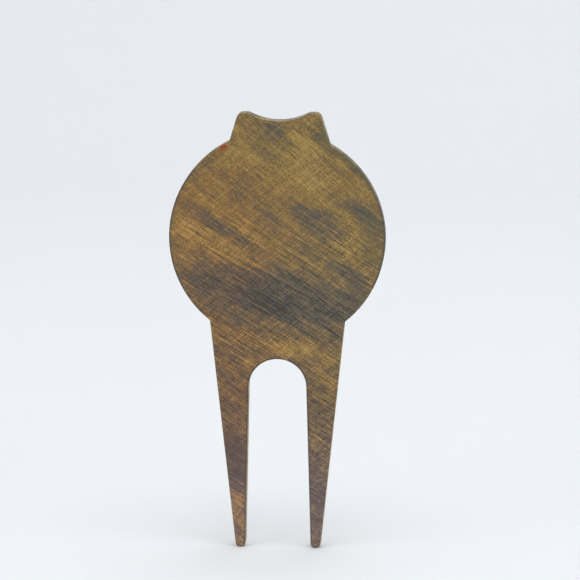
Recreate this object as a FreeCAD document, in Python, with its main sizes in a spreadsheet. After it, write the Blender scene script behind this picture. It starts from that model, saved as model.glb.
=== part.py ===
"""Divot repair tool with a magnetic ball marker, as a parametric document.

The tool is one struck brass plate: a round head with two small ears and a shallow rest notch between
them, a tapering shank, and two prongs either side of a round-topped slot. One face is plain. The other
carries a ring of enamel and a round seat, where a glued magnet holds a loose steel ball marker.

Row frame: +Z runs up the tool from the prong tips to the ears, X is its width, and Y its thickness.
The plain face looks along -Y and the marker along +Y. The origin is level with the prong tips, centred
in the width and in the thickness over plate and marker. Units are millimetres.
"""

import FreeCAD, Part
import math
import os
from types import SimpleNamespace

import Sketcher

DIMENSIONS = {
    # Head, shank and prongs
    "overall_length": 75.0,
    "head_radius": 18.23,
    "head_centre_height": 53.77,
    "shank_half_width": 11.42,
    "prong_taper_angle": 6.06,
    "slot_radius": 4.89,
    "slot_centre_height": 28.1,
    "slot_flare_angle": 1.42,
    # Ears and the rest notch between them, measured from the ears' own middle line
    "ear_offset": 0.41,
    "ear_base_height": 64.0,
    "ear_side_angle": 17.25,
    "ear_crest_half_span": 6.06,
    "ear_outside_radius": 1.1,
    "ear_inside_radius": 0.8,
    "rest_notch_radius": 10.45,
    "rest_notch_depth": 1.31,
    # Plate section
    "plate_thickness": 2.4,
    "edge_radius": 0.22,
    "root_corner_radius": 0.5,
    # Marker seat and magnet pocket
    "seat_radius": 12.5,
    "seat_depth": 0.9,
    "magnet_radius": 4.0,
    "magnet_thickness": 0.9,
    "magnet_chamfer": 0.12,
    "magnet_pocket_radius": 4.1,
    "glue_thickness": 0.08,
    # Enamel ring round the seat
    "ring_inner_radius": 13.5,
    "ring_outer_radius": 16.6,
    "ring_groove_depth": 0.35,
    # Ball marker
    "marker_radius": 12.3,
    "marker_thickness": 1.2,
    "marker_seat_gap": 0.05,
    "marker_edge_radius": 0.2,
    "picture_radius": 11.2,
    "picture_depth": 0.3,
    "metal_line_width": 0.45,
    "hill_radius": 22.0,
    "hill_top_drop": 3.6,
    "pole_offset": -1.6,
    "pole_width": 0.6,
    "pole_top_rise": 9.0,
    "pole_finial": 0.5,
    "flag_circumradius": 2.7,
    # Every enamel fill stays this far below the metal that frames it
    "enamel_sink": 0.06,
}

doc = FreeCAD.newDocument("divot_repair_tool")


# ---------------------------------------------------------------- driving dimensions


def make_sheet():
    """One spreadsheet row for each driving dimension, and rows for the planes that follow from them."""
    sheet = doc.addObject("Spreadsheet::Sheet", "dims")
    derived = {
        "front_plane": "=(plate_thickness - seat_depth + marker_seat_gap + marker_thickness) / 2"
        " - (marker_seat_gap + marker_thickness - seat_depth)",
        "back_plane": "=front_plane - plate_thickness",
        "seat_floor": "=front_plane - seat_depth",
        "magnet_pocket_depth": "=magnet_thickness + glue_thickness",
        "marker_back": "=seat_floor + marker_seat_gap",
        "marker_face": "=marker_back + marker_thickness",
        "picture_floor": "=marker_face - picture_depth",
        "hill_centre_height": "=head_centre_height - hill_top_drop - hill_radius",
        "flag_centre_x": "=pole_offset + pole_width / 2 + flag_circumradius / 2",
        "flag_centre_height": "=head_centre_height + pole_top_rise - pole_finial"
        " - (flag_circumradius + 2 * metal_line_width) * cos(30 deg)",
    }
    for row, (name, value) in enumerate({**DIMENSIONS, **derived}.items(), start=1):
        sheet.set(f"A{row}", name)
        sheet.set(f"B{row}", str(value))
        sheet.setAlias(f"B{row}", name)
        doc.recompute()
    return sheet


dims = make_sheet()


def cell(name):
    """The value of one aliased cell, as a plain number."""
    return float(dims.get(name))


# ---------------------------------------------------------------- helpers for bodies and primitives

# Sketcher's numbers for the ends and the centre of a curve, and for the sketch's own axes
START, END, CENTRE = 1, 2, 3
WIDTH_AXIS, UP_AXIS = -1, -2
# How near a point on an edge must lie to the place that the edge is looked for
NEAR = 0.01


def origin_plane(body, role):
    """The body's own origin plane with that role, such as XZ_Plane."""
    return next(f for f in body.Origin.OriginFeatures if f.Role == role)


def flat_sketch(body, name, height):
    """A sketch on the body's XZ plane, moved to y = height. Its normal is -Y, its x is X and its y is Z."""
    sketch = body.newObject("Sketcher::SketchObject", name)
    sketch.AttachmentSupport = (origin_plane(body, "XZ_Plane"), [""])
    sketch.MapMode = "FlatFace"
    sketch.setExpression("AttachmentOffset.Base.z", f"-({height})")
    return sketch


def bind(sketch, index, expression):
    """Ties one dimensional constraint to the spreadsheet."""
    sketch.setExpression(f"Constraints[{index}]", expression)


def add_circle(sketch, radius_expression, radius):
    """A circle round the head's centre, with its radius and place bound to the sheet."""
    centre = FreeCAD.Vector(0, cell("head_centre_height"), 0)
    circle = sketch.addGeometry(Part.Circle(centre, FreeCAD.Vector(0, 0, 1), radius))
    bind(sketch, sketch.addConstraint(Sketcher.Constraint("Radius", circle, radius)), radius_expression)
    height = Sketcher.Constraint("DistanceY", WIDTH_AXIS, START, circle, CENTRE, centre.y)
    bind(sketch, sketch.addConstraint(height), "dims.head_centre_height")
    sketch.addConstraint(Sketcher.Constraint("PointOnObject", circle, CENTRE, UP_AXIS))


def pocket(body, name, sketch, depth_expression):
    """A pocket that runs from its sketch towards the plain face, along -Y."""
    before = body.Shape.Volume
    feature = body.newObject("PartDesign::Pocket", name)
    feature.Profile = sketch
    feature.Reversed = True
    feature.setExpression("Length", depth_expression)
    doc.recompute()
    if body.Shape.Volume >= before:
        raise RuntimeError(f"{name} cut nothing")
    return feature


def cylinder(name, radius, height, lowest_y, centre_x="0", centre_z="dims.head_centre_height"):
    """A Part cylinder along +Y, every size and place an expression on the sheet."""
    solid = doc.addObject("Part::Cylinder", name)
    solid.Placement.Rotation = FreeCAD.Rotation(FreeCAD.Vector(1, 0, 0), -90)
    solid.setExpression("Radius", radius)
    solid.setExpression("Height", height)
    solid.setExpression("Placement.Base.x", centre_x)
    solid.setExpression("Placement.Base.y", lowest_y)
    solid.setExpression("Placement.Base.z", centre_z)
    return solid


def boolean(kind, label, base, tool):
    """A Part::Cut or Part::Common of two objects."""
    result = doc.addObject(f"Part::{kind}", label)
    result.Base = base
    result.Tool = tool
    return result


def fuse(name, shapes):
    """A Part::MultiFuse of several objects."""
    result = doc.addObject("Part::MultiFuse", name)
    result.Shapes = shapes
    return result


# ---------------------------------------------------------------- the forked plate


def dimensions():
    """Every driving dimension of the sheet, as a plain value to place a sketch's curves by."""
    return SimpleNamespace(**{name: cell(name) for name in DIMENSIONS})


def add_arc(sketch, x, z, radius, start, end):
    """An arc in a sketch, anticlockwise from one angle to the other."""
    circle = Part.Circle(FreeCAD.Vector(x, z, 0), FreeCAD.Vector(0, 0, 1), radius)
    return sketch.addGeometry(Part.ArcOfCircle(circle, start, end))


def add_line(sketch, start, end):
    """A straight line in a sketch between two (x, z) points."""
    return sketch.addGeometry(Part.LineSegment(FreeCAD.Vector(*start, 0), FreeCAD.Vector(*end, 0)))


def join(sketch, kind, first, first_end, second, second_end):
    """Two ends held together, as a corner (Coincident) or smoothly (Tangent)."""
    sketch.addConstraint(Sketcher.Constraint(kind, first, first_end, second, second_end))


def size(sketch, expression, *constraint):
    """A dimensional constraint bound to the sheet."""
    bind(sketch, sketch.addConstraint(Sketcher.Constraint(*constraint)), expression)


def across(sketch, expression, geometry, end, value):
    """The distance of a point from the sketch's upright axis, bound to the sheet."""
    size(sketch, expression, "DistanceX", WIDTH_AXIS, START, geometry, end, value)


def up(sketch, expression, geometry, end, value):
    """The height of a point above the prong tips, bound to the sheet."""
    size(sketch, expression, "DistanceY", WIDTH_AXIS, START, geometry, end, value)


def on_axis(sketch, axis, geometry, end):
    """A point kept on one of the sketch's axes."""
    sketch.addConstraint(Sketcher.Constraint("PointOnObject", geometry, end, axis))


def draw_half_fork(sketch, at):
    """The six curves of the head, shank and prong on one side, first placed near their solution."""
    shank_drop = math.sqrt(at.head_radius**2 - at.shank_half_width**2)
    shank = (at.shank_half_width, at.head_centre_height - shank_drop)
    outer_at_tip = shank[0] - shank[1] * math.tan(math.radians(at.prong_taper_angle))
    inner_at_tip = at.slot_radius + at.slot_centre_height * math.tan(math.radians(at.slot_flare_angle))
    tip_radius = (outer_at_tip - inner_at_tip) / 2
    shank_angle = math.atan2(-shank_drop, at.shank_half_width)
    slot_top = (0, at.slot_centre_height + at.slot_radius)
    head_top = (0, at.head_centre_height + at.head_radius)
    return SimpleNamespace(
        head=add_arc(sketch, 0, at.head_centre_height, at.head_radius, shank_angle, math.pi / 2),
        outer=add_line(sketch, shank, (outer_at_tip, tip_radius)),
        tip=add_arc(sketch, (outer_at_tip + inner_at_tip) / 2, tip_radius, tip_radius, -math.pi, 0),
        inner=add_line(sketch, (inner_at_tip, tip_radius), (at.slot_radius, at.slot_centre_height)),
        slot=add_arc(sketch, 0, at.slot_centre_height, at.slot_radius, 0, math.pi / 2),
        middle=add_line(sketch, slot_top, head_top),
    )


def half_fork_outline(body):
    """The right half of the head, shank and prongs, closed along the middle line."""
    sketch = flat_sketch(body, "half_fork_outline", "dims.front_plane")
    at = dimensions()
    curve = draw_half_fork(sketch, at)

    join(sketch, "Coincident", curve.head, START, curve.outer, START)
    join(sketch, "Tangent", curve.outer, END, curve.tip, END)
    join(sketch, "Tangent", curve.tip, START, curve.inner, START)
    join(sketch, "Tangent", curve.inner, END, curve.slot, START)
    join(sketch, "Coincident", curve.slot, END, curve.middle, START)
    join(sketch, "Coincident", curve.middle, END, curve.head, END)
    for arc in (curve.head, curve.slot):
        on_axis(sketch, UP_AXIS, arc, CENTRE)
        on_axis(sketch, UP_AXIS, arc, END)
    sketch.addConstraint(Sketcher.Constraint("Tangent", curve.tip, WIDTH_AXIS))

    size(sketch, "dims.head_radius", "Radius", curve.head, at.head_radius)
    size(sketch, "dims.slot_radius", "Radius", curve.slot, at.slot_radius)
    up(sketch, "dims.head_centre_height", curve.head, CENTRE, at.head_centre_height)
    up(sketch, "dims.slot_centre_height", curve.slot, CENTRE, at.slot_centre_height)
    across(sketch, "dims.shank_half_width", curve.outer, START, at.shank_half_width)
    outer_angle = -math.radians(90 + at.prong_taper_angle)
    outer_slope = "-(90 + dims.prong_taper_angle) * 1 deg"
    size(sketch, outer_slope, "Angle", WIDTH_AXIS, curve.outer, outer_angle)
    inner_angle = math.radians(90 + at.slot_flare_angle)
    inner_slope = "(90 + dims.slot_flare_angle) * 1 deg"
    size(sketch, inner_slope, "Angle", WIDTH_AXIS, curve.inner, inner_angle)
    return sketch


def draw_half_ear(sketch, at):
    """The seven curves of half the ears, first placed near their solution."""
    top = at.overall_length
    notch_bottom = top - at.rest_notch_depth
    notch_height = notch_bottom + at.rest_notch_radius
    inside_height = top - at.ear_inside_radius
    reach = at.rest_notch_radius + at.ear_inside_radius
    inside_x = math.sqrt(reach**2 - (notch_height - inside_height)**2)
    notch_end = math.atan2(inside_height - notch_height, inside_x)
    slope = math.radians(at.ear_side_angle)
    outside = (at.ear_crest_half_span, top - at.ear_outside_radius)
    side_x = outside[0] + at.ear_outside_radius * math.cos(slope)
    side_z = outside[1] + at.ear_outside_radius * math.sin(slope)
    base = (side_x + (side_z - at.ear_base_height) * math.tan(slope), at.ear_base_height)
    return SimpleNamespace(
        notch=add_arc(sketch, 0, notch_height, at.rest_notch_radius, -math.pi / 2, notch_end),
        inside=add_arc(
            sketch, inside_x, inside_height, at.ear_inside_radius, math.pi / 2, math.pi + notch_end
        ),
        crest=add_line(sketch, (inside_x, top), (at.ear_crest_half_span, top)),
        outside=add_arc(sketch, *outside, at.ear_outside_radius, slope, math.pi / 2),
        side=add_line(sketch, (side_x, side_z), base),
        base=add_line(sketch, base, (0, at.ear_base_height)),
        middle=add_line(sketch, (0, at.ear_base_height), (0, notch_bottom)),
    )


def half_ear_outline(body):
    """Half of the ears and of the notch between them, with a base that lies inside the head."""
    sketch = flat_sketch(body, "half_ear_outline", "dims.front_plane")
    sketch.setExpression("AttachmentOffset.Base.x", "dims.ear_offset")
    at = dimensions()
    curve = draw_half_ear(sketch, at)

    join(sketch, "Tangent", curve.notch, END, curve.inside, END)
    join(sketch, "Tangent", curve.inside, START, curve.crest, START)
    join(sketch, "Tangent", curve.crest, END, curve.outside, END)
    join(sketch, "Tangent", curve.outside, START, curve.side, START)
    join(sketch, "Coincident", curve.side, END, curve.base, START)
    join(sketch, "Coincident", curve.base, END, curve.middle, START)
    join(sketch, "Coincident", curve.middle, END, curve.notch, START)
    for geometry, end in ((curve.notch, CENTRE), (curve.notch, START), (curve.base, END)):
        on_axis(sketch, UP_AXIS, geometry, end)
    sketch.addConstraint(Sketcher.Constraint("Horizontal", curve.crest))
    sketch.addConstraint(Sketcher.Constraint("Horizontal", curve.base))

    size(sketch, "dims.rest_notch_radius", "Radius", curve.notch, at.rest_notch_radius)
    size(sketch, "dims.ear_inside_radius", "Radius", curve.inside, at.ear_inside_radius)
    size(sketch, "dims.ear_outside_radius", "Radius", curve.outside, at.ear_outside_radius)
    notch_bottom = at.overall_length - at.rest_notch_depth
    up(sketch, "dims.overall_length - dims.rest_notch_depth", curve.notch, START, notch_bottom)
    up(sketch, "dims.overall_length", curve.crest, END, at.overall_length)
    up(sketch, "dims.ear_base_height", curve.base, END, at.ear_base_height)
    across(sketch, "dims.ear_crest_half_span", curve.crest, END, at.ear_crest_half_span)
    side_angle = -math.radians(90 - at.ear_side_angle)
    size(sketch, "-(90 - dims.ear_side_angle) * 1 deg", "Angle", WIDTH_AXIS, curve.side, side_angle)
    return sketch


def at_a_root(edge):
    """Whether an edge runs through the thickness where the head's rim meets an ear or the shank."""
    first, last = (vertex.Point for vertex in edge.Vertexes)
    through = abs(first.y - last.y) > cell("plate_thickness") / 2
    from_rim = math.hypot(first.x, first.z - cell("head_centre_height")) - cell("head_radius")
    return through and abs(from_rim) < NEAR


def on_a_face(edge):
    """Whether an edge lies in the plain face or the marker's face."""
    heights = [vertex.Point.y for vertex in edge.Vertexes]
    return max(heights) - min(heights) < NEAR


def round_edges(body, name, base, test, radius_expression):
    """A fillet on those edges of the last feature that pass the test."""
    fillet = body.newObject("PartDesign::Fillet", name)
    edges = [f"Edge{i}" for i, edge in enumerate(base.Shape.Edges, start=1) if test(edge)]
    fillet.Base = (base, edges)
    fillet.setExpression("Radius", radius_expression)
    doc.recompute()
    return fillet


def pad_and_mirror(body, name, outline, mirror):
    """A half outline raised to the plate's thickness, and its mirror image."""
    pad = body.newObject("PartDesign::Pad", f"half_{name}")
    pad.Profile = outline
    pad.setExpression("Length", "dims.plate_thickness")
    doc.recompute()
    whole = body.newObject("PartDesign::Mirrored", name)
    whole.Originals = [pad]
    whole.MirrorPlane = mirror
    whole.Refine = True
    body.Tip = whole
    doc.recompute()
    return whole


def make_blank(body):
    """The plate before its far side is worked: head and prongs, ears, root corners and edge rounding."""
    pad_and_mirror(body, "fork", half_fork_outline(body), (origin_plane(body, "YZ_Plane"), [""]))
    ear = half_ear_outline(body)
    whole = pad_and_mirror(body, "ears", ear, (ear, ["V_Axis"]))
    roots = round_edges(body, "root_corners", whole, at_a_root, "dims.root_corner_radius")
    round_edges(body, "edge_rounding", roots, on_a_face, "dims.edge_radius")


def make_fork_plate():
    """The struck plate, with the marker's seat, the magnet's pocket and the ring's groove cut in it."""
    body = doc.addObject("PartDesign::Body", "fork_plate")
    body.Label = "fork_plate"
    make_blank(body)

    seat = flat_sketch(body, "seat_outline", "dims.front_plane")
    add_circle(seat, "dims.seat_radius", cell("seat_radius"))
    pocket(body, "marker_seat", seat, "dims.seat_depth")

    hole = flat_sketch(body, "magnet_pocket_outline", "dims.seat_floor")
    add_circle(hole, "dims.magnet_pocket_radius", cell("magnet_pocket_radius"))
    pocket(body, "magnet_pocket", hole, "dims.magnet_pocket_depth")

    groove = flat_sketch(body, "ring_groove_outline", "dims.front_plane")
    add_circle(groove, "dims.ring_inner_radius", cell("ring_inner_radius"))
    add_circle(groove, "dims.ring_outer_radius", cell("ring_outer_radius"))
    pocket(body, "ring_groove", groove, "dims.ring_groove_depth")
    return body


def make_ring_enamel():
    """Enamel lying in the groove round the seat."""
    body = doc.addObject("PartDesign::Body", "head_ring_enamel")
    body.Label = "head_ring_enamel"
    ring = flat_sketch(body, "ring_outline", "dims.front_plane - dims.enamel_sink")
    add_circle(ring, "dims.ring_inner_radius", cell("ring_inner_radius"))
    add_circle(ring, "dims.ring_outer_radius", cell("ring_outer_radius"))
    pad = body.newObject("PartDesign::Pad", "ring_fill")
    pad.Profile = ring
    pad.setExpression("Length", "dims.ring_groove_depth - dims.enamel_sink")
    doc.recompute()
    return body


# ---------------------------------------------------------------- the magnet and its glue


def rims(shape, size):
    """Each closed circular edge of a cylinder, with one size for both its ends."""
    closed = [i for i, edge in enumerate(shape.Edges, start=1) if len(edge.Vertexes) == 1]
    return [(i, size, size) for i in closed]


def make_magnet():
    """A plated disc magnet, its top level with the seat floor and its rims chamfered."""
    lowest = "dims.seat_floor - dims.magnet_thickness"
    blank = cylinder("magnet_blank", "dims.magnet_radius", "dims.magnet_thickness", lowest)
    doc.recompute()
    magnet = doc.addObject("Part::Chamfer", "seat_magnet")
    magnet.Base = blank
    magnet.Edges = rims(blank.Shape, cell("magnet_chamfer"))
    return magnet


def make_glue():
    """The cup of glue between the magnet and the walls of its pocket."""
    depth = "dims.magnet_pocket_depth - dims.magnet_chamfer"
    pocket_floor = "dims.seat_floor - dims.magnet_pocket_depth"
    cup = cylinder("glue_outside", "dims.magnet_pocket_radius", depth, pocket_floor)
    magnet_back = "dims.seat_floor - dims.magnet_thickness"
    room = cylinder("glue_inside", "dims.magnet_radius", "dims.magnet_thickness", magnet_back)
    return boolean("Cut", "magnet_glue", cup, room)


# ---------------------------------------------------------------- the ball marker


def picture_disc(name, height):
    """The round picture field of the marker, from its floor up to that height."""
    return cylinder(name, "dims.picture_radius", height, "dims.picture_floor")


def pole(name, height):
    """The raised flag pole: a bar from inside the hill up to the flag's top."""
    bar = doc.addObject("Part::Box", name)
    bar.setExpression("Length", "dims.pole_width")
    bar.setExpression("Width", height)
    bar.setExpression("Height", "dims.pole_top_rise + dims.hill_top_drop + dims.metal_line_width")
    bar.setExpression("Placement.Base.x", "dims.pole_offset - dims.pole_width / 2")
    bar.setExpression("Placement.Base.y", "dims.picture_floor")
    foot = "dims.head_centre_height - dims.hill_top_drop - dims.metal_line_width"
    bar.setExpression("Placement.Base.z", foot)
    return bar


def pennant(name, circumradius, height):
    """A three-sided prism that points along +X, for the flag's cell or for its metal border."""
    prism = doc.addObject("Part::Prism", name)
    prism.Polygon = 3
    prism.Placement.Rotation = FreeCAD.Rotation(FreeCAD.Vector(1, 0, 0), -90)
    prism.setExpression("Circumradius", circumradius)
    prism.setExpression("Height", height)
    prism.setExpression("Placement.Base.x", "dims.flag_centre_x")
    prism.setExpression("Placement.Base.y", "dims.picture_floor")
    prism.setExpression("Placement.Base.z", "dims.flag_centre_height")
    return prism


def make_cells(prefix, height, labels):
    """The marker's three cells, ground, flag and sky, as solids of one height above the picture's floor."""
    floor, hill_height = "dims.picture_floor", "dims.hill_centre_height"
    hill = cylinder(f"{prefix}_hill", "dims.hill_radius", height, floor, centre_z=hill_height)
    ground = boolean("Common", labels["ground"], picture_disc(f"{prefix}_ground_field", height), hill)
    flag = pennant(labels["flag"], "dims.flag_circumradius", height)
    hill_edge = "dims.hill_radius + dims.metal_line_width"
    hill_and_line = cylinder(f"{prefix}_hill_line", hill_edge, height, floor, centre_z=hill_height)
    flag_edge = "dims.flag_circumradius + 2 * dims.metal_line_width"
    border = pennant(f"{prefix}_flag_border", flag_edge, height)
    metal = fuse(f"{prefix}_metal_lines", [hill_and_line, pole(f"{prefix}_pole", height), border])
    sky = boolean("Cut", labels["sky"], picture_disc(f"{prefix}_sky_field", height), metal)
    return {"ground": ground, "flag": flag, "sky": sky}


def make_marker():
    """The steel disc with three cells struck into its face, and the enamel that fills them."""
    blank = cylinder("marker_blank", "dims.marker_radius", "dims.marker_thickness", "dims.marker_back")
    doc.recompute()
    rounded = doc.addObject("Part::Fillet", "marker_rounded")
    rounded.Base = blank
    rounded.Edges = rims(blank.Shape, cell("marker_edge_radius"))

    names = {part: f"struck_{part}" for part in ("ground", "flag", "sky")}
    struck = make_cells("struck", "dims.picture_depth", names)
    disc = boolean("Cut", "marker_disc", rounded, fuse("struck_cells", list(struck.values())))

    names = {part: f"marker_{part}_enamel" for part in ("ground", "flag", "sky")}
    fills = make_cells("fill", "dims.picture_depth - dims.enamel_sink", names)
    return [disc, *fills.values()]


# ---------------------------------------------------------------- checking and writing


def check_document():
    """Stops at any object that did not compute."""
    doc.recompute()
    for item in doc.Objects:
        if "Invalid" in item.State or "Error" in item.State:
            raise RuntimeError(f"{item.Name} failed: {item.State}")


def write_parts(items):
    """Writes each sub-part's solids to parts/LABEL.step, after all of them have proved sound."""
    for item in items:
        if item.Shape.isNull() or not item.Shape.isValid() or not item.Shape.Solids:
            raise RuntimeError(f"{item.Label} has no sound solid")
    os.makedirs("parts", exist_ok=True)
    for item in items:
        item.Shape.exportStep(f"parts/{item.Label}.step")
        box = item.Shape.optimalBoundingBox(True, False)
        size = f"{box.XLength:.2f} x {box.YLength:.2f} x {box.ZLength:.2f} mm"
        print(f"{item.Label}: {len(item.Shape.Solids)} solid, {size}, {item.Shape.Volume:.2f} mm3")


sub_parts = [make_fork_plate(), make_ring_enamel(), make_magnet(), make_glue(), *make_marker()]
check_document()
write_parts(sub_parts)
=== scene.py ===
"""A brass divot repair tool, standing on its two prong tips with its plain brushed face to the camera."""

import math

import bmesh
import bpy
from mathutils import Matrix, Vector


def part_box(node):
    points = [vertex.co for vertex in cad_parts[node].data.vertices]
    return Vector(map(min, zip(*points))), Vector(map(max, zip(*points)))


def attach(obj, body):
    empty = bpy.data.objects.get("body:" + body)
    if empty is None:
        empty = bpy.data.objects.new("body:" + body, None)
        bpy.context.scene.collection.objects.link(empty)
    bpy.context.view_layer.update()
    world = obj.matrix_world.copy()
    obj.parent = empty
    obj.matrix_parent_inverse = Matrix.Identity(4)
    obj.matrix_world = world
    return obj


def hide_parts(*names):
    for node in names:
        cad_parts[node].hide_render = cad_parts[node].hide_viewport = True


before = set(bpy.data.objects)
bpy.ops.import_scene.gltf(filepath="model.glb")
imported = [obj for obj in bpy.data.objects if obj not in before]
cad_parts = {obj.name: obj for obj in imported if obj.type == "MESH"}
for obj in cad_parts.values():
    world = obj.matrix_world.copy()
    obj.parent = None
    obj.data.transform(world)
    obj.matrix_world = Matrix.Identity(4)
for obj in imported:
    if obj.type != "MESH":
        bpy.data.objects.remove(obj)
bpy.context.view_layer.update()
MM = 0.001


# ---------------------------------------------------------------- camera
# A long lens, a little above the tool and to its right, aimed just above the middle of the plain
# face. It stands far enough back for the plate to look flat.

AIM = Vector((2.19, 0, 44.99)) * MM
AIM.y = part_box("fork_plate")[0][1]
CAMERA_AZIMUTH = math.radians(4.3515)
CAMERA_ELEVATION = math.radians(11.473)
CAMERA_ROLL = math.radians(-0.153)
CAMERA_DISTANCE = 550 * MM
LENS_LENGTH = 202.77
FILM_WIDTH = 36
NEAREST_IN_VIEW = 20 * MM

backwards = Vector((
    math.sin(CAMERA_AZIMUTH) * math.cos(CAMERA_ELEVATION),
    -math.cos(CAMERA_AZIMUTH) * math.cos(CAMERA_ELEVATION),
    math.sin(CAMERA_ELEVATION),
))
lens_data = bpy.data.cameras.new("studio_camera")
lens_data.lens = LENS_LENGTH
lens_data.sensor_width = FILM_WIDTH
lens_data.clip_start = NEAREST_IN_VIEW
camera = bpy.data.objects.new("studio_camera", lens_data)
turned = (-backwards).to_track_quat("-Z", "Y").to_matrix().to_4x4()
camera.matrix_world = Matrix.Translation(AIM + backwards * CAMERA_DISTANCE) @ turned @ Matrix.Rotation(
    CAMERA_ROLL, 4, "Z"
)
bpy.context.collection.objects.link(camera)
bpy.context.scene.camera = camera
bpy.context.scene.view_settings.view_transform = "Standard"


# ---------------------------------------------------------------- paper sweep
# One sheet of matt pale paper, plain and without a crease: a level floor that curves up into the
# backdrop behind the tool.

def add_piece(name, mesh_maker, smooth_angle=40):
    """A named object from a bmesh, with its place in its mesh."""
    mesh = bpy.data.meshes.new(name)
    mesh_maker.to_mesh(mesh)
    mesh_maker.free()
    if "custom_normal" in mesh.attributes:
        mesh.attributes.remove(mesh.attributes["custom_normal"])
    piece = bpy.data.objects.new(name, mesh)
    bpy.context.collection.objects.link(piece)
    mesh.shade_smooth()
    mesh.set_sharp_from_angle(angle=math.radians(smooth_angle))
    return piece


def new_material(name):
    """A node material and its Principled shader."""
    material = bpy.data.materials.new(name)
    material.use_nodes = True
    return material, material.node_tree, material.node_tree.nodes["Principled BSDF"]


def add_node(tree, kind, settings=None, **inputs):
    """A node with its settings and its inputs, each a value or another node's output."""
    node = tree.nodes.new(kind)
    for key, value in (settings or {}).items():
        setattr(node, key, value)
    for key, value in inputs.items():
        socket = node.inputs[int(key[1:])] if key[0] == "_" else node.inputs[key.replace("_", " ")]
        if isinstance(value, bpy.types.NodeSocket):
            tree.links.new(value, socket)
        else:
            socket.default_value = value
    return node


def mottle(tree, place, scale, detail, roughness=0.5):
    """Soft cloudy noise between 0 and 1, with its scale per unit of place."""
    noise = add_node(
        tree, "ShaderNodeTexNoise", Vector=place, Scale=scale, Detail=detail, Roughness=roughness
    )
    return noise.outputs["Fac"]


def feed(tree, shader, **sources):
    """Links each source to the shader's socket of that name."""
    for name, source in sources.items():
        tree.links.new(source, shader.inputs[name.replace("_", " ")])


def srgb(red, green, blue):
    """A colour as a painter's 0 to 255 swatch, made linear."""
    parts = [c / 255 for c in (red, green, blue)]
    return tuple(c / 12.92 if c <= 0.04045 else ((c + 0.055) / 1.055) ** 2.4 for c in parts) + (1,)


SWEEP_FRONT = 3.2
SWEEP_BACK = 0.35
SWEEP_RADIUS = 0.3
SWEEP_HEIGHT = 0.9
SWEEP_HALF_WIDTH = 1.1
CURVE_STEPS = 32
SHADED_PAPER = srgb(233, 235, 238)
PLAIN_PAPER = srgb(237, 239, 241)

sweep_maker = bmesh.new()
front_edge = [sweep_maker.verts.new((side * SWEEP_HALF_WIDTH, -SWEEP_FRONT, 0)) for side in (-1, 1)]
edge = sweep_maker.edges.new(front_edge)
floor_part = bmesh.ops.extrude_edge_only(sweep_maker, edges=[edge])["geom"]
bmesh.ops.translate(
    sweep_maker,
    vec=(0, SWEEP_FRONT + SWEEP_BACK, 0),
    verts=[item for item in floor_part if isinstance(item, bmesh.types.BMVert)],
)
back_edge = [item for item in floor_part if isinstance(item, bmesh.types.BMEdge)][:1]
bmesh.ops.spin(
    sweep_maker,
    geom=back_edge + list(back_edge[0].verts),
    cent=(0, SWEEP_BACK, SWEEP_RADIUS),
    axis=(1, 0, 0),
    angle=math.radians(90),
    steps=CURVE_STEPS,
)
top_edge = max(sweep_maker.edges, key=lambda e: sum(v.co.z for v in e.verts))
wall_part = bmesh.ops.extrude_edge_only(sweep_maker, edges=[top_edge])["geom"]
bmesh.ops.translate(
    sweep_maker,
    vec=(0, 0, SWEEP_HEIGHT),
    verts=[item for item in wall_part if isinstance(item, bmesh.types.BMVert)],
)
bmesh.ops.recalc_face_normals(sweep_maker, faces=sweep_maker.faces)
sweep = add_piece("paper_sweep", sweep_maker, smooth_angle=180)

paper, paper_tree, paper_shader = new_material("pale_paper")
paper_place = add_node(paper_tree, "ShaderNodeTexCoord").outputs["Object"]
paper_colour = add_node(
    paper_tree, "ShaderNodeValToRGB", Fac=mottle(paper_tree, paper_place, scale=3.0, detail=2.0)
)
paper_colour.color_ramp.elements[0].color = SHADED_PAPER
paper_colour.color_ramp.elements[1].color = PLAIN_PAPER
feed(paper_tree, paper_shader, Base_Color=paper_colour.outputs["Color"])
paper_shader.inputs["Roughness"].default_value = 0.9
paper_shader.inputs["Specular IOR Level"].default_value = 0.2
sweep.data.materials.append(paper)


# ---------------------------------------------------------------- studio light
# A big soft box overhead and a smaller one on each side, all turned to the tool, with pale light
# all round.

WARM_LAMP = (1.0, 0.995, 0.98)
COOL_LAMP = (0.96, 0.98, 1.0)
AIR_COLOUR = (0.93, 0.96, 1.0, 1)
AIR_STRENGTH = 0.43


def add_softbox(name, place, size, power, colour):
    """A square area light, its side in metres and its power in watts, that faces where the lens aims."""
    light = bpy.data.lights.new(name, "AREA")
    light.shape = "SQUARE"
    light.size = size
    light.energy = power
    light.color = colour
    holder = bpy.data.objects.new(name, light)
    holder.location = Vector(place)
    holder.rotation_euler = (AIM - holder.location).to_track_quat("-Z", "Y").to_euler()
    bpy.context.collection.objects.link(holder)


add_softbox("overhead_softbox", (0.05, -0.06, 0.9), size=0.8, power=5.3, colour=WARM_LAMP)
add_softbox("left_softbox", (-0.75, -0.5, 0.4), size=0.7, power=1.5, colour=COOL_LAMP)
add_softbox("right_softbox", (0.75, -0.5, 0.4), size=0.7, power=1.3, colour=COOL_LAMP)

air = bpy.data.worlds.new("pale_air")
air.use_nodes = True
air.node_tree.nodes["Background"].inputs["Color"].default_value = AIR_COLOUR
air.node_tree.nodes["Background"].inputs["Strength"].default_value = AIR_STRENGTH
bpy.context.scene.world = air


# ---------------------------------------------------------------- fork plate
# The tool itself: one flat plate cut from brass sheet, brushed by hand in two directions, browned
# with antiquing fluid and worn back to gold in patches. Its rim was broken with a file.

SAME_POINT = 0.0005 * MM


def merged_copy(node_name):
    """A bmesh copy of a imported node, with its loose triangles joined along their edges."""
    maker = bmesh.new()
    maker.from_mesh(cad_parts[node_name].data)
    bmesh.ops.remove_doubles(maker, verts=maker.verts, dist=SAME_POINT)
    return maker


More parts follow.
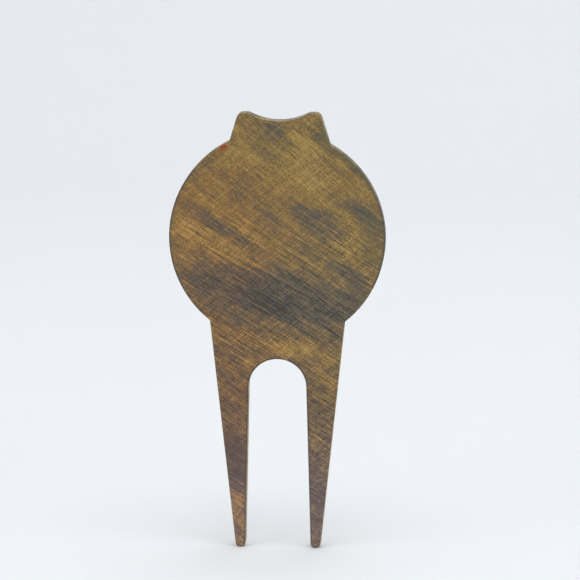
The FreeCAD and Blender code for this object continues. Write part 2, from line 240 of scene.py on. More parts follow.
plate = add_piece("brass_fork_plate", merged_copy("fork_plate"), smooth_angle=32)
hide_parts("fork_plate")
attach(plate, "tool")


def new_group(name, takes, gives):
    """A shader node group with named sockets: its tree, its inputs and its output node."""
    tree = bpy.data.node_groups.new(name, "ShaderNodeTree")
    for socket, (kind, value) in takes.items():
        made = tree.interface.new_socket(socket, in_out="INPUT", socket_type=kind)
        if value is not None:
            made.default_value = value
    for socket, kind in gives.items():
        tree.interface.new_socket(socket, in_out="OUTPUT", socket_type=kind)
    return tree, tree.nodes.new("NodeGroupInput").outputs, tree.nodes.new("NodeGroupOutput").inputs


def use_group(tree, group, **inputs):
    """One use of a node group, with its inputs set."""
    return add_node(tree, "ShaderNodeGroup", {"node_tree": group}, **inputs)


def reckon(tree, operation, first, second=0.0):
    """One Math node."""
    return add_node(tree, "ShaderNodeMath", {"operation": operation}, _0=first, _1=second).outputs[0]


def total_of(tree, *values):
    """The sum of several values."""
    total = values[0]
    for value in values[1:]:
        total = reckon(tree, "ADD", total, value)
    return total


def vector_of(tree, operation, *vectors, output=0):
    """One Vector Math node."""
    inputs = {f"_{i}": vector for i, vector in enumerate(vectors)}
    return add_node(tree, "ShaderNodeVectorMath", {"operation": operation}, **inputs).outputs[output]


def remap(tree, value, low, high, to_low=0.0, to_high=1.0, kind="LINEAR"):
    """A value carried from one range to another, held at both ends."""
    return add_node(
        tree,
        "ShaderNodeMapRange",
        {"interpolation_type": kind, "clamp": True},
        Value=value,
        From_Min=low,
        From_Max=high,
        To_Min=to_low,
        To_Max=to_high,
    ).outputs["Result"]


def blend_colour(tree, share, first, second, blend="MIX"):
    """Two colours mixed, the second by a share from 0 to 1."""
    mix = tree.nodes.new("ShaderNodeMix")
    mix.data_type = "RGBA"
    mix.blend_type = blend
    for socket, value in ((mix.inputs[0], share), (mix.inputs[6], first), (mix.inputs[7], second)):
        if isinstance(value, bpy.types.NodeSocket):
            tree.links.new(value, socket)
        else:
            socket.default_value = value
    return mix.outputs[2]


def scaled(tree, vector, factor):
    """A vector made longer or shorter."""
    return add_node(
        tree, "ShaderNodeVectorMath", {"operation": "SCALE"}, _0=vector, Scale=factor
    ).outputs[0]


def millimetres(tree):
    """The place on the piece in millimetres."""
    return scaled(tree, add_node(tree, "ShaderNodeTexCoord").outputs["Object"], 1 / MM)


def turned_about_y(tree, vector, angle):
    """A vector turned in the plane of the face, by an angle in radians."""
    return add_node(
        tree, "ShaderNodeVectorRotate", {"rotation_type": "Y_AXIS"}, Vector=vector, Angle=angle
    ).outputs[0]


def add_bump(tree, shader, strength, depth, height):
    """Raises the surface by a height, as far as a depth in mm."""
    bump = add_node(tree, "ShaderNodeBump", Strength=strength, Distance=depth * MM, Height=height)
    feed(tree, shader, Normal=bump.outputs["Normal"])


# Lines left by one pass of a wire brush: noise drawn out along the stroke.
brush_tree, brush_in, brush_out = new_group(
    "brush_strokes",
    {
        "Place": ("NodeSocketVector", None),
        "Angle": ("NodeSocketFloat", 0.6),
        "Length": ("NodeSocketFloat", 2.0),
        "Width": ("NodeSocketFloat", 0.2),
        "Seed": ("NodeSocketFloat", 0.0),
        "Detail": ("NodeSocketFloat", 2.0),
    },
    {"Lines": "NodeSocketFloat"},
)
turned_place = turned_about_y(brush_tree, brush_in["Place"], brush_in["Angle"])
stroke_size = add_node(
    brush_tree, "ShaderNodeCombineXYZ", X=brush_in["Length"], Y=2.0, Z=brush_in["Width"]
).outputs[0]
stroke_noise = add_node(
    brush_tree,
    "ShaderNodeTexNoise",
    {"noise_dimensions": "4D"},
    Vector=vector_of(brush_tree, "DIVIDE", turned_place, stroke_size),
    W=brush_in["Seed"], Scale=1.0, Detail=brush_in["Detail"], Roughness=0.6,
).outputs["Fac"]
brush_tree.links.new(stroke_noise, brush_out["Lines"])

# A soft oval patch at one place on the face.
patch_tree, patch_in, patch_out = new_group(
    "soft_patch",
    {
        "Place": ("NodeSocketVector", None),
        "Centre": ("NodeSocketVector", None),
        "Angle": ("NodeSocketFloat", 0.6),
        "Size": ("NodeSocketVector", None),
        "Strength": ("NodeSocketFloat", 1.0),
        "Before": ("NodeSocketFloat", 0.0),
    },
    {"Mask": "NodeSocketFloat"},
)
from_centre = vector_of(patch_tree, "SUBTRACT", patch_in["Place"], patch_in["Centre"])
along_patch = turned_about_y(patch_tree, from_centre, patch_in["Angle"])
in_patch = vector_of(patch_tree, "DIVIDE", along_patch, patch_in["Size"])
patch_reach = vector_of(patch_tree, "LENGTH", in_patch, output=1)
patch_fade = remap(patch_tree, patch_reach, 1.2, 0.35, kind="SMOOTHSTEP")
patch_weight = reckon(patch_tree, "MULTIPLY", patch_fade, patch_in["Strength"])
patch_tree.links.new(reckon(patch_tree, "ADD", patch_weight, patch_in["Before"]), patch_out["Mask"])


THROUGH_THE_PLATE = 100


def add_patches(tree, place, patches):
    """The sum of soft patches, each (x, z, slope in degrees, half length, half width, strength) in mm."""
    total = 0.0
    for x, z, slope, half_length, half_width, strength in patches:
        node = use_group(tree, patch_tree, Place=place, Before=total)
        node.inputs["Centre"].default_value = (x, 0, z)
        node.inputs["Angle"].default_value = -math.radians(slope)
        node.inputs["Size"].default_value = (half_length, THROUGH_THE_PLATE, half_width)
        node.inputs["Strength"].default_value = strength
        total = node.outputs["Mask"]
    return total


def strokes(tree, place, slope, length, width, seed, swing, detail):
    """One pass of the brush, sloping down to the right by some degrees, that swings either side of 0."""
    brush = use_group(
        tree, brush_tree, Place=place, Angle=-math.radians(slope), Length=length, Width=width
    )
    brush.inputs["Seed"].default_value = seed
    brush.inputs["Detail"].default_value = detail
    return remap(tree, brush.outputs["Lines"], 0.3, 0.7, -swing, swing)


# How far a point on the face lies inside the plate's outline, in mm, from the sizes of its curves.
HEAD_CENTRE_Z = 53.77
HEAD_RADIUS = 18.23
SHANK_Z = 39.56
SHANK_HALF_WIDTH = 11.42
PRONG_TAPER = math.radians(6.06)
SLOT_CENTRE_Z = 28.1
SLOT_RADIUS = 4.89
SLOT_FLARE = math.radians(1.42)
EAR_X = 0.41
EAR_CREST_X = 6.06
EAR_CREST_Z = 73.9
EAR_CREST_RADIUS = 1.1
EAR_SLOPE = math.radians(17.25)
TOOL_TOP_Z = 75.0
NOTCH_Z = 84.14
NOTCH_RADIUS = 10.45

inset_tree, inset_in, inset_out = new_group(
    "depth_inside_outline", {"Place": ("NodeSocketVector", None)}, {"Depth": "NodeSocketFloat"}
)
flat_place = vector_of(inset_tree, "MULTIPLY", inset_in["Place"], (1, 0, 1))
at = add_node(inset_tree, "ShaderNodeSeparateXYZ", Vector=flat_place).outputs


def in_circle(x, z, radius):
    """Depth inside a circle of the outline."""
    distance = vector_of(inset_tree, "DISTANCE", flat_place, (x, 0, z), output=1)
    return reckon(inset_tree, "SUBTRACT", radius, distance)


half_x = reckon(inset_tree, "ABSOLUTE", at["X"])
widening = SHANK_Z * math.tan(PRONG_TAPER)
shank_width = remap(
    inset_tree, at["Z"], 0, SHANK_Z * 2, SHANK_HALF_WIDTH - widening, SHANK_HALF_WIDTH + widening
)
in_shank = reckon(
    inset_tree, "MULTIPLY", reckon(inset_tree, "SUBTRACT", shank_width, half_x), math.cos(PRONG_TAPER)
)
ear_x = reckon(inset_tree, "ABSOLUTE", reckon(inset_tree, "SUBTRACT", at["X"], EAR_X))
past_crest_x = reckon(inset_tree, "SUBTRACT", ear_x, EAR_CREST_X)
past_crest_z = reckon(inset_tree, "SUBTRACT", at["Z"], EAR_CREST_Z)
past_ear_side = total_of(
    inset_tree,
    reckon(inset_tree, "MULTIPLY", past_crest_x, math.cos(EAR_SLOPE)),
    reckon(inset_tree, "MULTIPLY", past_crest_z, math.sin(EAR_SLOPE)),
)
in_ear = reckon(
    inset_tree,
    "MINIMUM",
    reckon(inset_tree, "SUBTRACT", EAR_CREST_RADIUS, past_ear_side),
    reckon(inset_tree, "SUBTRACT", TOOL_TOP_Z, at["Z"]),
)
in_plate = reckon(inset_tree, "MAXIMUM", in_circle(0, HEAD_CENTRE_Z, HEAD_RADIUS), in_shank)
in_plate = reckon(inset_tree, "MAXIMUM", in_plate, in_ear)
past_notch = reckon(inset_tree, "MULTIPLY", in_circle(EAR_X, NOTCH_Z, NOTCH_RADIUS), -1)
above_slot = reckon(inset_tree, "SUBTRACT", at["Z"], SLOT_CENTRE_Z)
slot_reach = add_node(
    inset_tree, "ShaderNodeCombineXYZ", X=half_x, Z=reckon(inset_tree, "MAXIMUM", above_slot, 0.0)
).outputs[0]
flare = remap(inset_tree, above_slot, -SLOT_CENTRE_Z, 0, SLOT_CENTRE_Z * math.tan(SLOT_FLARE), 0)
past_slot = total_of(
    inset_tree,
    vector_of(inset_tree, "LENGTH", slot_reach, output=1),
    reckon(inset_tree, "MULTIPLY", flare, -1),
    -SLOT_RADIUS,
)
depth = in_plate
for other in (past_notch, past_slot, at["Z"]):
    depth = reckon(inset_tree, "MINIMUM", depth, other)
inset_tree.links.new(depth, inset_out["Depth"])

# Browned places, long ones along the brush strokes.
DARK_PATCHES = (
    (-0.6, 43.8, 12, 21.0, 5.8, 0.6),
    (-0.6, 42.8, 22, 8.0, 2.6, 0.16),
    (-12.4, 46.0, 26, 6.0, 2.0, 0.16),
    (14.6, 43.4, 38, 5.0, 3.6, 0.26),
    (2.6, 46.8, 26, 6.0, 1.2, 0.18),
    (12.0, 48.2, 22, 5.4, 1.7, 0.40),
    (7.2, 56.4, 33, 6.2, 2.4, 0.56),
    (11.0, 60.2, 32, 6.0, 1.4, 0.34),
    (15.2, 57.0, 60, 4.6, 1.9, 0.34),
    (-0.8, 56.8, 42, 4.2, 2.0, 0.34),
    (3.6, 52.2, 24, 4.4, 1.6, 0.36),
    (-10.2, 56.4, 35, 8.4, 1.1, 0.42),
    (-4.8, 63.6, -30, 5.6, 0.9, 0.26),
    (-6.6, 60.6, -38, 3.4, 0.7, 0.22),
    (-9.8, 65.4, 40, 2.4, 0.9, 0.22),
    (0.4, 71.0, 48, 3.6, 1.7, 0.30),
    (0.6, 72.8, 5, 4.2, 0.8, 0.22),
    (6.9, 71.4, 72, 2.8, 0.7, 0.30),
    (-4.2, 69.6, 38, 2.6, 0.7, 0.20),
    (-5.0, 38.8, 30, 5.2, 0.9, 0.30),
    (6.4, 37.0, 32, 4.0, 1.0, 0.30),
    (-8.2, 34.4, 35, 3.4, 1.6, 0.20),
    (-9.4, 30.6, 35, 3.6, 1.0, 0.30),
    (-8.6, 26.0, 70, 5.0, 2.4, 0.22),
    (9.2, 37.6, 40, 3.4, 0.9, 0.28),
    (8.4, 31.4, 40, 3.0, 0.8, 0.30),
    (-7.6, 15.4, 80, 7.0, 3.2, 0.76),
    (8.2, 19.0, 82, 5.0, 2.4, 0.26),
    (7.0, 8.4, 85, 8.4, 2.4, 0.34),
)
# Places worn back to bright metal.
GOLD_PATCHES = (
    (5.6, 64.0, 33, 8.0, 3.8, 0.26),
    (4.8, 69.6, 60, 3.8, 2.0, 0.26),
    (-5.8, 70.0, 60, 4.4, 1.9, 0.22),
    (-8.0, 66.5, -30, 5.0, 3.0, 0.12),
    (-12.6, 59.8, 34, 4.6, 1.6, 0.16),
    (-12.4, 53.4, 34, 5.0, 1.6, 0.18),
    (-4.6, 55.6, 40, 3.2, 1.6, 0.18),
    (11.7, 52.2, 20, 2.2, 1.1, 0.40),
    (-4.6, 49.4, 34, 5.0, 1.2, 0.16),
    (-10.0, 44.6, 26, 3.6, 0.9, 0.34),
    (4.8, 42.2, 35, 2.6, 0.9, 0.26),
    (12.2, 42.4, 30, 2.0, 0.7, 0.20),
    (15.0, 47.6, 32, 1.8, 0.35, 0.35),
    (-12.8, 47.0, 28, 3.4, 0.4, 0.24),
    (1.0, 34.6, 20, 3.4, 1.6, 0.32),
    (5.0, 34.6, 30, 3.4, 1.8, 0.26),
    (5.4, 38.6, 40, 3.0, 0.8, 0.28),
    (-6.6, 6.4, 80, 4.6, 1.8, 0.50),
    (7.8, 17.0, 75, 3.2, 1.8, 0.18),
    (8.8, 30.0, 70, 6.0, 2.6, 0.18),
)
# Small pits that hold black.
PITS = (
    (6.9, 23.4, -60, 0.55, 0.3, 0.7),
    (-8.0, 21.4, 20, 0.5, 0.35, 0.6),
    (-6.1, 17.6, 0, 0.4, 0.35, 0.5),
    (-13.2, 49.4, -45, 0.35, 0.2, 0.5),
    (6.8, 16.8, -70, 0.4, 0.15, 0.4),
)
# Single deep scratches: above nought they hold black, below it they show bright metal.
SCRATCHES = (
    (-0.4, 46.9, 35, 1.9, 0.12, 0.9),
    (-0.2, 47.2, 35, 1.7, 0.08, -0.6),
    (-2.7, 41.5, 30, 2.8, 0.12, 0.8),
    (-2.5, 41.8, 30, 2.6, 0.08, -0.6),
    (7.7, 43.2, 40, 1.7, 0.12, 0.8),
    (7.9, 43.4, 40, 1.5, 0.08, -0.5),
    (2.5, 68.2, 48, 1.0, 0.12, 0.8),
    (13.1, 65.5, -35, 0.6, 0.12, 0.8),
    (-7.6, 51.2, 32, 3.2, 0.09, -0.5),
    (-4.4, 49.8, 34, 2.2, 0.09, -0.6),
    (6.4, 47.6, 42, 2.2, 0.1, 0.6),
    (-1.6, 36.0, -38, 2.0, 0.09, -0.4),
)
# Greenish places, along the rims of the head and the right ear.
GREEN_PATCHES = (
    (13.0, 66.3, 48, 5.0, 1.1, 0.65),
    (7.9, 71.0, 73, 3.6, 1.0, 0.6),
    (16.4, 55.6, 80, 4.0, 1.6, 0.5),
    (-12.8, 66.2, -47, 5.4, 0.8, 0.55),
    (16.0, 50.6, 60, 3.0, 1.6, 0.4),
    (-17.4, 55.0, 90, 6.0, 0.7, 0.4),
)
# A smear of the ring's enamel over the edge, below the left ear.
RED_TRACE = ((-8.9, 69.2, -25, 0.85, 0.5, 0.75),)

BRIGHT_BRASS = srgb(192, 156, 96)
GOLDEN_BRASS = srgb(162, 131, 79)
BROWN_BRASS = srgb(139, 112, 76)
DARK_BRASS = srgb(108, 98, 84)
BLACKENED_BRASS = srgb(76, 72, 67)
REDDER_LACQUER = srgb(255, 248, 243)
GREENER_LACQUER = srgb(248, 255, 254)
# Pale cream of the filed walls, partly the filed metal and partly painted light from above.
FILED_AND_TOPLIT_EDGE = srgb(206, 190, 148)
STAINED_EDGE = srgb(94, 86, 64)
COPPER_TINT = srgb(168, 112, 74)
VERDIGRIS = srgb(92, 98, 78)
LACQUER_HAZE = srgb(74, 70, 84)
RED_SMEAR = srgb(176, 52, 40)

# Passes of the brush: slope in degrees, length and width in mm, seed, swing and detail.
BROAD_PASSES = (
    (33, 9.0, 0.9, 2.0, 0.22, 3.0),
    (-38, 5.0, 0.9, 7.0, 0.14, 3.0),
)
LOWER_PASSES = (
    (31, 9.0, 0.17, 3.0, 0.5, 2.0),
    (36, 2.0, 0.12, 13.0, 0.36, 0.0),
    (-40, 3.6, 0.14, 5.0, 0.3, 1.0),
)
UPPER_PASSES = (
    (41, 7.0, 0.2, 43.0, 0.26, 2.0),
    (52, 1.6, 0.13, 47.0, 0.2, 0.0),
    (-38, 5.0, 0.2, 53.0, 0.22, 1.0),
)
# The pass that drags the patches' edges out along it, by up to 2.6 mm, and its slope in radians.
DRAGGING_PASS = (33, 9.0, 0.5, 61.0, 2.6, 3.0)
DRAG_SLOPE = 0.58
RAGGED_BY = 1.2

BROWNING_EVERYWHERE = 0.24
BROWNING_LIMIT = 0.7
GRAIN_IN_BROWNING = 0.64
# The browning at each end of the ramp of tones.
POLISHED = -0.4
BLACKENED = 1.3

# Heights over the prong tips, in mm, between which each of these sets in.
BROWNER_LOW_HEAD = (56.0, 36.0)
BROWNER_PRONGS = (44.0, 16.0)
STEEPER_STROKES = (54.0, 64.0)
COARSER_PRONGS = (46.0, 34.0)
CORRODED_PRONGS = (32.0, 20.0)
COPPERY_PRONGS = (42.0, 26.0)
HAZY_PRONGS = (28.0, 4.0)
GREENER_EARS = (60.0, 72.0)
RUBBED_NOTCH = (70.5, 72.5)
# Painted top light: the walls above these heights, at the notch and the tops of the ears, are painted
# paler.
TOPLIT_WALLS_AT_NOTCH_AND_EARS = (70.0, 72.0)
STAINED_ABOVE = (36.0, 42.0)

brass, brass_tree, brass_shader = new_material("antique_brass")
brass_place = millimetres(brass_tree)
height_mm = add_node(brass_tree, "ShaderNodeSeparateXYZ", Vector=brass_place).outputs["Z"]


def by_height(heights, low=0.0, high=1.0):
    """A value that goes from low to high between two heights on the plate."""
    return remap(brass_tree, height_mm, *heights, low, high, "SMOOTHSTEP")


def brushed(passes):
    """The sum of several passes of the brush over the plate."""
    return total_of(brass_tree, *(strokes(brass_tree, brass_place, *one) for one in passes))


def times(first, second):
    """A product in the brass."""
    return reckon(brass_tree, "MULTIPLY", first, second)


ragged = add_node(
    brass_tree, "ShaderNodeTexNoise", Vector=brass_place, Scale=0.9, Detail=4.0, Roughness=0.7
).outputs["Color"]
ragged_shift = vector_of(
    brass_tree, "MULTIPLY_ADD", ragged, (2 * RAGGED_BY, 0, 2 * RAGGED_BY), (-RAGGED_BY, 0, -RAGGED_BY)
)
drag = scaled(brass_tree, (math.cos(DRAG_SLOPE), 0, -math.sin(DRAG_SLOPE)), brushed((DRAGGING_PASS,)))
ragged_place = vector_of(brass_tree, "ADD", vector_of(brass_tree, "ADD", brass_place, ragged_shift), drag)

worn = times(add_patches(brass_tree, ragged_place, GOLD_PATCHES), -1)
browned = reckon(
    brass_tree, "MINIMUM", add_patches(brass_tree, ragged_place, DARK_PATCHES), BROWNING_LIMIT
)
browning = total_of(
    brass_tree,
    BROWNING_EVERYWHERE,
    browned,
    worn,
    by_height(BROWNER_LOW_HEAD, 0.0, 0.14),
    by_height(BROWNER_PRONGS, 0.0, 0.26),
    brushed(BROAD_PASSES),
)
speckle = mottle(brass_tree, brass_place, scale=6.2, detail=1.0)
fine_grain = total_of(
    brass_tree,
    times(brushed(UPPER_PASSES), by_height(STEEPER_STROKES)),
    times(brushed(LOWER_PASSES), by_height(STEEPER_STROKES, 1.0, 0.0)),
    remap(brass_tree, speckle, 0.36, 0.64, -0.32, 0.32),
    add_patches(brass_tree, brass_place, SCRATCHES),
)
fine_grain = times(fine_grain, by_height(COARSER_PRONGS, 1.0, 1.2))
corrosion = mottle(brass_tree, brass_place, scale=1.7, detail=4.0, roughness=0.75)
corroded = times(remap(brass_tree, corrosion, 0.36, 0.64, -0.34, 0.4), by_height(CORRODED_PRONGS))
speck_distance = add_node(
    brass_tree, "ShaderNodeTexVoronoi", Vector=brass_place, Scale=0.42
).outputs["Distance"]
bright_specks = remap(brass_tree, speck_distance, 0.03, 0.06, 0.9, 0.0, "SMOOTHSTEP")
inside_outline = use_group(brass_tree, inset_tree, Place=brass_place).outputs["Depth"]
rim_dark = times(
    remap(brass_tree, inside_outline, 0.5, 0.12, 0.0, 0.75, "SMOOTHSTEP"),
    remap(brass_tree, height_mm, *RUBBED_NOTCH, 1.0, 0.15),
)
patina = total_of(
    brass_tree,
    browning,
    times(fine_grain, GRAIN_IN_BROWNING),
    corroded,
    rim_dark,
    add_patches(brass_tree, brass_place, PITS),
    times(bright_specks, -1),
)

tone = add_node(brass_tree, "ShaderNodeValToRGB", Fac=remap(brass_tree, patina, POLISHED, BLACKENED))
tone.color_ramp.elements[0].color = BRIGHT_BRASS
tone.color_ramp.elements[1].color = BLACKENED_BRASS
for position, swatch in ((0.28, GOLDEN_BRASS), (0.46, BROWN_BRASS), (0.68, DARK_BRASS)):
    tone.color_ramp.elements.new(position).color = swatch

warm_cloud = mottle(brass_tree, brass_place, scale=0.16, detail=2.0)
copper_share = total_of(
    brass_tree,
    by_height(COPPERY_PRONGS, 0.0, 0.14),
    remap(brass_tree, warm_cloud, 0.5, 0.75, 0.0, 0.1),
)
brass_colour = blend_colour(brass_tree, copper_share, tone.outputs["Color"], COPPER_TINT)
across_face = add_node(brass_tree, "ShaderNodeSeparateXYZ", Vector=ragged_place).outputs["X"]
across_or_up = total_of(brass_tree, across_face, by_height(GREENER_EARS, 0.0, 11.0))
greenness = remap(brass_tree, across_or_up, -8.0, 9.0, kind="SMOOTHSTEP")
lacquer = blend_colour(brass_tree, greenness, REDDER_LACQUER, GREENER_LACQUER)
brass_colour = blend_colour(brass_tree, 1.0, brass_colour, lacquer, "MULTIPLY")
# Painted highlight and shade: the grain's light lines are made paler and its dark lines darker in the
# colour itself, as glints and shadows in the brush lines.
painted_glint_and_shade = remap(brass_tree, fine_grain, -0.9, 0.9, 1.3, 0.72)
brass_colour = blend_colour(brass_tree, 1.0, brass_colour, painted_glint_and_shade, "MULTIPLY")
brass_colour = blend_colour(
    brass_tree, by_height(HAZY_PRONGS, 0.0, 0.6), brass_colour, LACQUER_HAZE, "ADD"
)
green_share = add_patches(brass_tree, ragged_place, GREEN_PATCHES)
brass_colour = blend_colour(brass_tree, green_share, brass_colour, VERDIGRIS)
red_share = add_patches(brass_tree, brass_place, RED_TRACE)
brass_colour = blend_colour(brass_tree, red_share, brass_colour, RED_SMEAR)

# The plate's walls show the metal as it was sheared and filed, stained darker round the head; their pale
# cream is partly painted top light, paler still where they face up at the notch and ears.
face_normal = add_node(brass_tree, "ShaderNodeTexCoord").outputs["Normal"]
facing = add_node(brass_tree, "ShaderNodeSeparateXYZ", Vector=face_normal).outputs["Y"]
wall_share = remap(brass_tree, reckon(brass_tree, "ABSOLUTE", facing), 0.75, 0.35, 0.0, 0.9)
shear_place = vector_of(brass_tree, "MULTIPLY", brass_place, (4.5, 0.35, 4.5))
shear_lines = mottle(brass_tree, shear_place, scale=1.0, detail=2.0)
shear_stain = mottle(brass_tree, brass_place, scale=0.45, detail=3.0)
wall_stain_and_top_light = total_of(
    brass_tree,
    remap(brass_tree, shear_lines, 0.35, 0.7, 0.0, 0.35),
    remap(brass_tree, shear_stain, 0.45, 0.7, 0.0, 0.35),
    # Less dark above 72 mm, where the walls face up: painted top light.
    by_height(TOPLIT_WALLS_AT_NOTCH_AND_EARS, 0.55, 0.45),
    by_height(STAINED_ABOVE, -0.45, 0.0),
)
wall_colour = blend_colour(brass_tree, wall_stain_and_top_light, FILED_AND_TOPLIT_EDGE, STAINED_EDGE)
brass_colour = blend_colour(brass_tree, wall_share, brass_colour, wall_colour)

feed(
    brass_tree,
    brass_shader,
    Base_Color=brass_colour,
    Metallic=remap(brass_tree, patina, 0.0, 1.0, 0.8, 0.3),
    Roughness=remap(brass_tree, patina, 0.0, 1.0, 0.45, 0.65),
)
add_bump(brass_tree, brass_shader, strength=0.25, depth=0.03, height=fine_grain)
plate.data.materials.clear()
plate.data.materials.append(brass)


# ---------------------------------------------------------------- ring enamel
# A band of red enamel that fills the groove round the marker seat. It was poured in as a paste and
# baked, so it creeps up both walls of the groove and lies slightly hollow between them.

IN_PLANE = 0.001 * MM


def front_faces(maker, node_name):
    """The faces of a copied node that lie in its front plane."""
    front_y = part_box(node_name)[1][1]
    return [f for f in maker.faces if all(abs(v.co.y - front_y) < IN_PLANE for v in f.verts)]


def pour_enamel(node_name, name, creep, hollow):
    """A copy of an enamel fill whose front face sinks by a hollow inside a border as wide as its creep."""
    maker = merged_copy(node_name)
    top = front_faces(maker, node_name)
    for share in (0.6, 0.4):
        bmesh.ops.inset_region(
            maker,
            faces=top,
            thickness=creep * share,
            depth=-hollow * share,
            use_boundary=True,
            use_even_offset=False,
        )
    return add_piece(name, maker, smooth_angle=60)


# Baked enamel: cloudy depth, pin bubbles and hairline scratches.
enamel_tree, enamel_in, enamel_out = new_group(
    "enamel_bake",
    {"Place": ("NodeSocketVector", None)},
    {"Cloud": "NodeSocketFloat", "Bubbles": "NodeSocketFloat", "Hairlines": "NodeSocketFloat"},
)
cloud = mottle(enamel_tree, enamel_in["Place"], scale=0.5, detail=3.0)
enamel_tree.links.new(remap(enamel_tree, cloud, 0.3, 0.7), enamel_out["Cloud"])
bubble_distance = add_node(
    enamel_tree, "ShaderNodeTexVoronoi", Vector=enamel_in["Place"], Scale=0.62
).outputs["Distance"]
enamel_tree.links.new(
    remap(enamel_tree, bubble_distance, 0.03, 0.06, 1.0, 0.0, "SMOOTHSTEP"), enamel_out["Bubbles"]
)
hairline_brush = use_group(
    enamel_tree, brush_tree, Place=enamel_in["Place"], Angle=-0.9, Length=9.0, Width=0.07
)
hairline_brush.inputs["Seed"].default_value = 21.0
hairline_brush.inputs["Detail"].default_value = 1.0
hairlines = hairline_brush.outputs["Lines"]
enamel_tree.links.new(remap(enamel_tree, hairlines, 0.58, 0.7), enamel_out["Hairlines"])


ENAMEL_GLOSS = 0.14
BUBBLE_WHITE = (0.9, 0.9, 0.9, 1)


def enamel_material(name, deep, thin):
    """A gloss enamel that is paler where it lies thin."""
    material, tree, shader = new_material(name)
    bake = use_group(tree, enamel_tree, Place=millimetres(tree)).outputs
    bubble_share = reckon(tree, "MULTIPLY", bake["Bubbles"], 0.35)
    colour = blend_colour(tree, bubble_share, blend_colour(tree, bake["Cloud"], deep, thin), BUBBLE_WHITE)
    wear = total_of(tree, ENAMEL_GLOSS, reckon(tree, "MULTIPLY", bake["Hairlines"], 0.22))
    feed(tree, shader, Base_Color=colour, Roughness=wear)
    surface = total_of(tree, bake["Cloud"], reckon(tree, "MULTIPLY", bake["Bubbles"], -0.8))
    add_bump(tree, shader, strength=0.3, depth=0.03, height=surface)
    shader.inputs["Coat Weight"].default_value = 0.5
    shader.inputs["Coat Roughness"].default_value = 0.08
    return material


def finish_piece(piece, material, body):
    """Gives a piece its material and the body that it rides on."""
    piece.data.materials.clear()
    piece.data.materials.append(material)
    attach(piece, body)


red_enamel = enamel_material("red_enamel", srgb(128, 14, 16), srgb(164, 26, 24))
ring = pour_enamel("head_ring_enamel", "red_ring_enamel", creep=0.5 * MM, hollow=0.06 * MM)
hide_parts("head_ring_enamel")
finish_piece(ring, red_enamel, "tool")


# ---------------------------------------------------------------- seat magnet
# A stock nickel-plated disc magnet in the pocket at the middle of the seat. It holds the marker.
# The plating is bright, with fine rings from the barrel polish and a few dull finger marks.

magnet = add_piece("nickel_seat_magnet", merged_copy("seat_magnet"), smooth_angle=25)
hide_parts("seat_magnet")


def from_head_axis(tree, place):
    """How far a place is from the axis through the middle of the head, in mm."""
    flat = vector_of(
        tree, "MULTIPLY", vector_of(tree, "SUBTRACT", place, (0, 0, HEAD_CENTRE_Z)), (1, 0, 1)
    )
    return vector_of(tree, "LENGTH", flat, output=1)


nickel, nickel_tree, nickel_shader = new_material("nickel_plating")
nickel_place = millimetres(nickel_tree)
polish_rings = add_node(
    nickel_tree,
    "ShaderNodeTexNoise",
    {"noise_dimensions": "1D"},
    W=from_head_axis(nickel_tree, nickel_place),
    Scale=14.0,
    Detail=2.0,
).outputs["Fac"]
finger_marks = mottle(nickel_tree, nickel_place, scale=0.7, detail=3.0)
nickel_colour = blend_colour(
    nickel_tree, remap(nickel_tree, finger_marks, 0.35, 0.7), srgb(206, 203, 196), srgb(176, 172, 162)
)
nickel_dullness = total_of(
    nickel_tree,
    remap(nickel_tree, polish_rings, 0.3, 0.7, 0.16, 0.26),
    remap(nickel_tree, finger_marks, 0.5, 0.7, 0.0, 0.14),
)
feed(nickel_tree, nickel_shader, Base_Color=nickel_colour, Roughness=nickel_dullness)
nickel_shader.inputs["Metallic"].default_value = 1.0
add_bump(nickel_tree, nickel_shader, strength=0.2, depth=0.01, height=polish_rings)
finish_piece(magnet, nickel, "tool")


# ---------------------------------------------------------------- magnet glue
# A film of clear epoxy under the magnet and in the thin gap round it, yellowed and a little cloudy.

glue = add_piece("magnet_glue_film", merged_copy("magnet_glue"), smooth_angle=30)
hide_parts("magnet_glue")

epoxy, epoxy_tree, epoxy_shader = new_material("set_epoxy")
epoxy_cloud = mottle(epoxy_tree, millimetres(epoxy_tree), scale=1.6, detail=3.0)
epoxy_colour = blend_colour(
    epoxy_tree, remap(epoxy_tree, epoxy_cloud, 0.35, 0.65), srgb(186, 168, 124), srgb(214, 202, 168)
)
epoxy_dullness = remap(epoxy_tree, epoxy_cloud, 0.35, 0.65, 0.22, 0.4)
feed(epoxy_tree, epoxy_shader, Base_Color=epoxy_colour, Roughness=epoxy_dullness)
add_bump(epoxy_tree, epoxy_shader, strength=0.3, depth=0.03, height=epoxy_cloud)
finish_piece(glue, epoxy, "tool")


# ---------------------------------------------------------------- ball marker
# A struck steel disc, plated to match the tool, with a raised border, hill line, flagstaff and
# pennant. It lies loose in the seat on the magnet.

MARKER_RADIUS = 12.3
RUBBED_EDGE_WIDTH = 0.6

marker = add_piece("ball_marker_disc", merged_copy("marker_disc"), smooth_angle=28)
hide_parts("marker_disc")

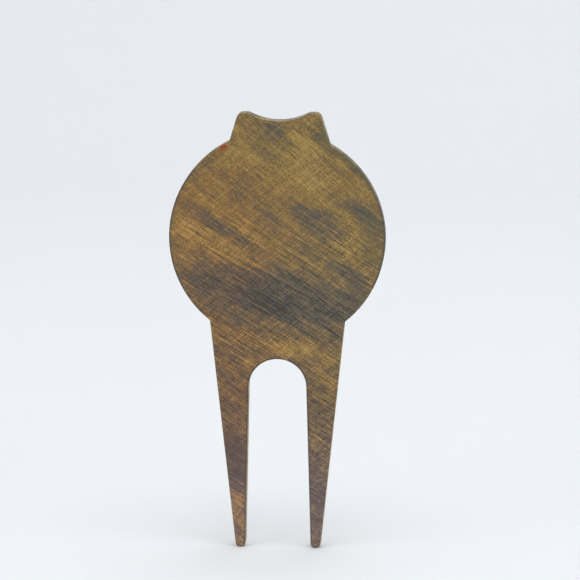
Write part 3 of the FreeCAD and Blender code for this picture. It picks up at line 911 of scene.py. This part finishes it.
plating, plating_tree, plating_shader = new_material("marker_plating")
plating_place = millimetres(plating_tree)
marker_reach = from_head_axis(plating_tree, plating_place)
edge_rub = remap(
    plating_tree, marker_reach, MARKER_RADIUS - RUBBED_EDGE_WIDTH, MARKER_RADIUS, 0.0, -0.35, "SMOOTHSTEP"
)
plating_cloud = mottle(plating_tree, plating_place, scale=0.6, detail=4.0)
plating_lines = total_of(
    plating_tree,
    strokes(plating_tree, plating_place, 25, 3.0, 0.1, 31.0, 0.16, 1.0),
    strokes(plating_tree, plating_place, -50, 2.0, 0.1, 33.0, 0.12, 1.0),
)
plating_patina = total_of(
    plating_tree, remap(plating_tree, plating_cloud, 0.3, 0.7, 0.2, 0.7), plating_lines, edge_rub
)
plating_tone = add_node(plating_tree, "ShaderNodeValToRGB", Fac=plating_patina)
plating_tone.color_ramp.elements[0].color = srgb(202, 172, 112)
plating_tone.color_ramp.elements[1].color = srgb(104, 88, 62)
plating_tone.color_ramp.elements.new(0.5).color = srgb(166, 138, 88)
feed(
    plating_tree,
    plating_shader,
    Base_Color=plating_tone.outputs["Color"],
    Metallic=remap(plating_tree, plating_patina, 0.0, 1.0, 0.95, 0.6),
    Roughness=remap(plating_tree, plating_patina, 0.0, 1.0, 0.26, 0.5),
)
add_bump(plating_tree, plating_shader, strength=0.2, depth=0.02, height=plating_lines)
finish_piece(marker, plating, "marker")


# ---------------------------------------------------------------- marker enamels
# Three enamel fills in the struck cells of the marker: green hill, red pennant and pale blue sky.
# Each was dripped in and baked like the ring, so each lies slightly hollow inside its metal lines.

green_enamel = enamel_material("green_enamel", srgb(22, 92, 40), srgb(38, 120, 54))
blue_enamel = enamel_material("blue_enamel", srgb(112, 168, 206), srgb(142, 190, 220))
# Each fill's node, name, enamel, slot, creep and hollow in mm.
MARKER_FILLS = (
    ("marker_ground_enamel", "green_hill_enamel", green_enamel, "green_enamel", 0.30, 0.04),
    ("marker_flag_enamel", "red_pennant_enamel", red_enamel, "red_enamel", 0.15, 0.02),
    ("marker_sky_enamel", "blue_sky_enamel", blue_enamel, "blue_enamel", 0.30, 0.04),
)
for node_name, name, enamel, slot, creep, hollow in MARKER_FILLS:
    fill = pour_enamel(node_name, name, creep * MM, hollow * MM)
    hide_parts(node_name)
    finish_piece(fill, enamel, "marker")
